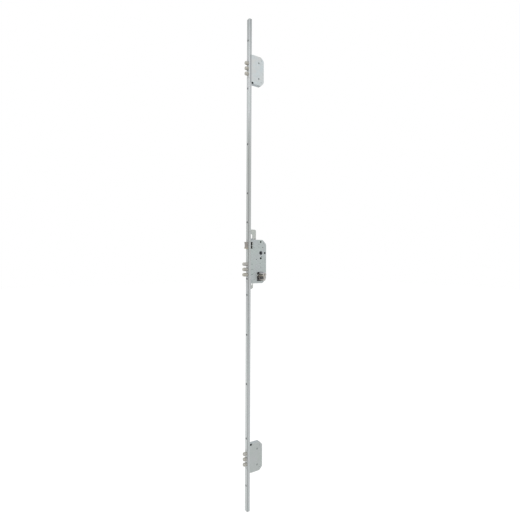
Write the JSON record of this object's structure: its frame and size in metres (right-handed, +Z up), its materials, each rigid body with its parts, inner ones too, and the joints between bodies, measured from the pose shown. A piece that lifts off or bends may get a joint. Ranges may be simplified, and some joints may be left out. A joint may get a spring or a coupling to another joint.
{
  "type": "multipoint door lock",
  "caption": "Gear-driven multipoint mortice lock: long U-shaped forend, main case with latch and profile cylinder, two auxiliary bolt boxes on rods.",
  "frame": {"origin": "axis of the spindle follower, in the middle of the lock thickness", "axes": "+Z up along the forend, -X the way the bolts point, +X into the door, -Y the near side plate"},
  "size_m": [0.1056, 0.07, 1.933],
  "materials": {
    "face_steel": "zinc plated, silver",
    "case_steel": "bright zinc plated sheet",
    "zinc_steel": "zinc plated strip",
    "pin_steel": "plain",
    "bolt_nickel": "nickel plated",
    "cylinder_nickel": "satin nickel",
    "gear_steel": "sintered",
    "latch_steel": "nickel plated, dull",
    "follower_zinc": "cast zinc",
    "screw_steel": "zinc plated",
    "spring_steel": "spring wire",
    "guide_plastic": "moulded"
  },
  "bodies": {
    "lock_frame": {"case_screws": "screw_steel", "cylinder_body": "cylinder_nickel", "cylinder_far_plug": "cylinder_nickel", "cylinder_screw": "screw_steel", "follower_spring": "spring_steel", "forend_channel": "face_steel", "gear_axle": "pin_steel", "guide_studs": "pin_steel", "latch_guide": "case_steel", "latch_guide_posts": "pin_steel", "lower_box_case": "case_steel", "lower_box_cover": "case_steel", "lower_box_posts": "pin_steel", "lower_box_rivets": "pin_steel", "main_case": "case_steel", "main_case_posts": "pin_steel", "main_cover": "case_steel", "rod_guides": "guide_plastic", "upper_box_case": "case_steel", "upper_box_cover": "case_steel", "upper_box_posts": "pin_steel", "upper_box_rivets": "pin_steel"},
    "main_bolts": {"bolt_carriage": "zinc_steel", "main_bolt_top": "bolt_nickel", "main_bolt_middle": "bolt_nickel", "main_bolt_bottom": "bolt_nickel", "main_bolt_rivets": "pin_steel"},
    "gear_wheel": {"drive_wheel": "gear_steel"},
    "key_plug": {"cylinder_gear": "gear_steel", "cylinder_near_plug": "cylinder_nickel"},
    "upper_link": {"upper_link_plate": "zinc_steel", "upper_link_pin": "pin_steel", "upper_rod": "zinc_steel", "upper_rod_rivets": "pin_steel", "upper_drive_plate": "zinc_steel"},
    "lower_link": {"lower_link_plate": "zinc_steel", "lower_link_pin": "pin_steel", "lower_rod": "zinc_steel", "lower_rod_rivets": "pin_steel", "lower_drive_plate": "zinc_steel"},
    "upper_bolts": {"upper_bolt_strip": "zinc_steel", "upper_box_bolts": "bolt_nickel", "upper_bolt_rivets": "pin_steel", "upper_drive_pins": "pin_steel"},
    "lower_bolts": {"lower_bolt_strip": "zinc_steel", "lower_box_bolts": "bolt_nickel", "lower_bolt_rivets": "pin_steel", "lower_drive_pins": "pin_steel"},
    "latch": {"latch_head": "latch_steel", "latch_tail": "zinc_steel", "latch_pin": "pin_steel", "latch_spring": "spring_steel"},
    "spindle_follower": {"follower": "follower_zinc"}
  },
  "joints": [
    {"name": "main_bolt_slide", "type": "slide", "parent": "lock_frame", "child": "main_bolts", "axis": [1, 0, 0], "range_m": [0, 0.02]},
    {"name": "gear_wheel_turn", "type": "hinge", "parent": "lock_frame", "child": "gear_wheel", "pos_m": [0, 0, -0.05688], "axis": [0, 1, 0], "range_deg": [0, 131.4]},
    {"name": "key_plug_turn", "type": "hinge", "parent": "lock_frame", "child": "key_plug", "pos_m": [0, 0, -0.085], "axis": [0, -1, 0], "range_deg": [0, 360.7]},
    {"name": "upper_link_slide", "type": "slide", "parent": "lock_frame", "child": "upper_link", "axis": [0, 0, -1], "range_m": [0, 0.014]},
    {"name": "lower_link_slide", "type": "slide", "parent": "lock_frame", "child": "lower_link", "axis": [0, 0, 1], "range_m": [0, 0.014]},
    {"name": "upper_bolt_slide", "type": "slide", "parent": "lock_frame", "child": "upper_bolts", "axis": [1, 0, 0], "range_m": [0, 0.014]},
    {"name": "lower_bolt_slide", "type": "slide", "parent": "lock_frame", "child": "lower_bolts", "axis": [1, 0, 0], "range_m": [0, 0.014]},
    {"name": "latch_slide", "type": "slide", "parent": "lock_frame", "child": "latch", "axis": [1, 0, 0], "range_m": [0, 0.015], "stiffness_N_per_m": 300, "springref_m": -0.012, "deforming": ["latch_spring"]},
    {"name": "follower_turn", "type": "hinge", "parent": "lock_frame", "child": "spindle_follower", "pos_m": [0, 0, 0], "axis": [0, 1, 0], "range_deg": [0, 32.6], "deforming": ["follower_spring"]}
  ],
  "couplings": [
    {"joint": "gear_wheel_turn", "follows": "main_bolt_slide", "rad_per_m": 114.29},
    {"joint": "key_plug_turn", "follows": "main_bolt_slide", "rad_per_m": 314.29},
    {"joint": "upper_link_slide", "follows": "main_bolt_slide", "ratio": 0.7},
    {"joint": "lower_link_slide", "follows": "main_bolt_slide", "ratio": 0.7},
    {"joint": "upper_bolt_slide", "follows": "main_bolt_slide", "ratio": 0.7},
    {"joint": "lower_bolt_slide", "follows": "main_bolt_slide", "ratio": 0.7},
    {"joint": "follower_turn", "follows": "latch_slide", "rad_per_m": 37.709}
  ]
}
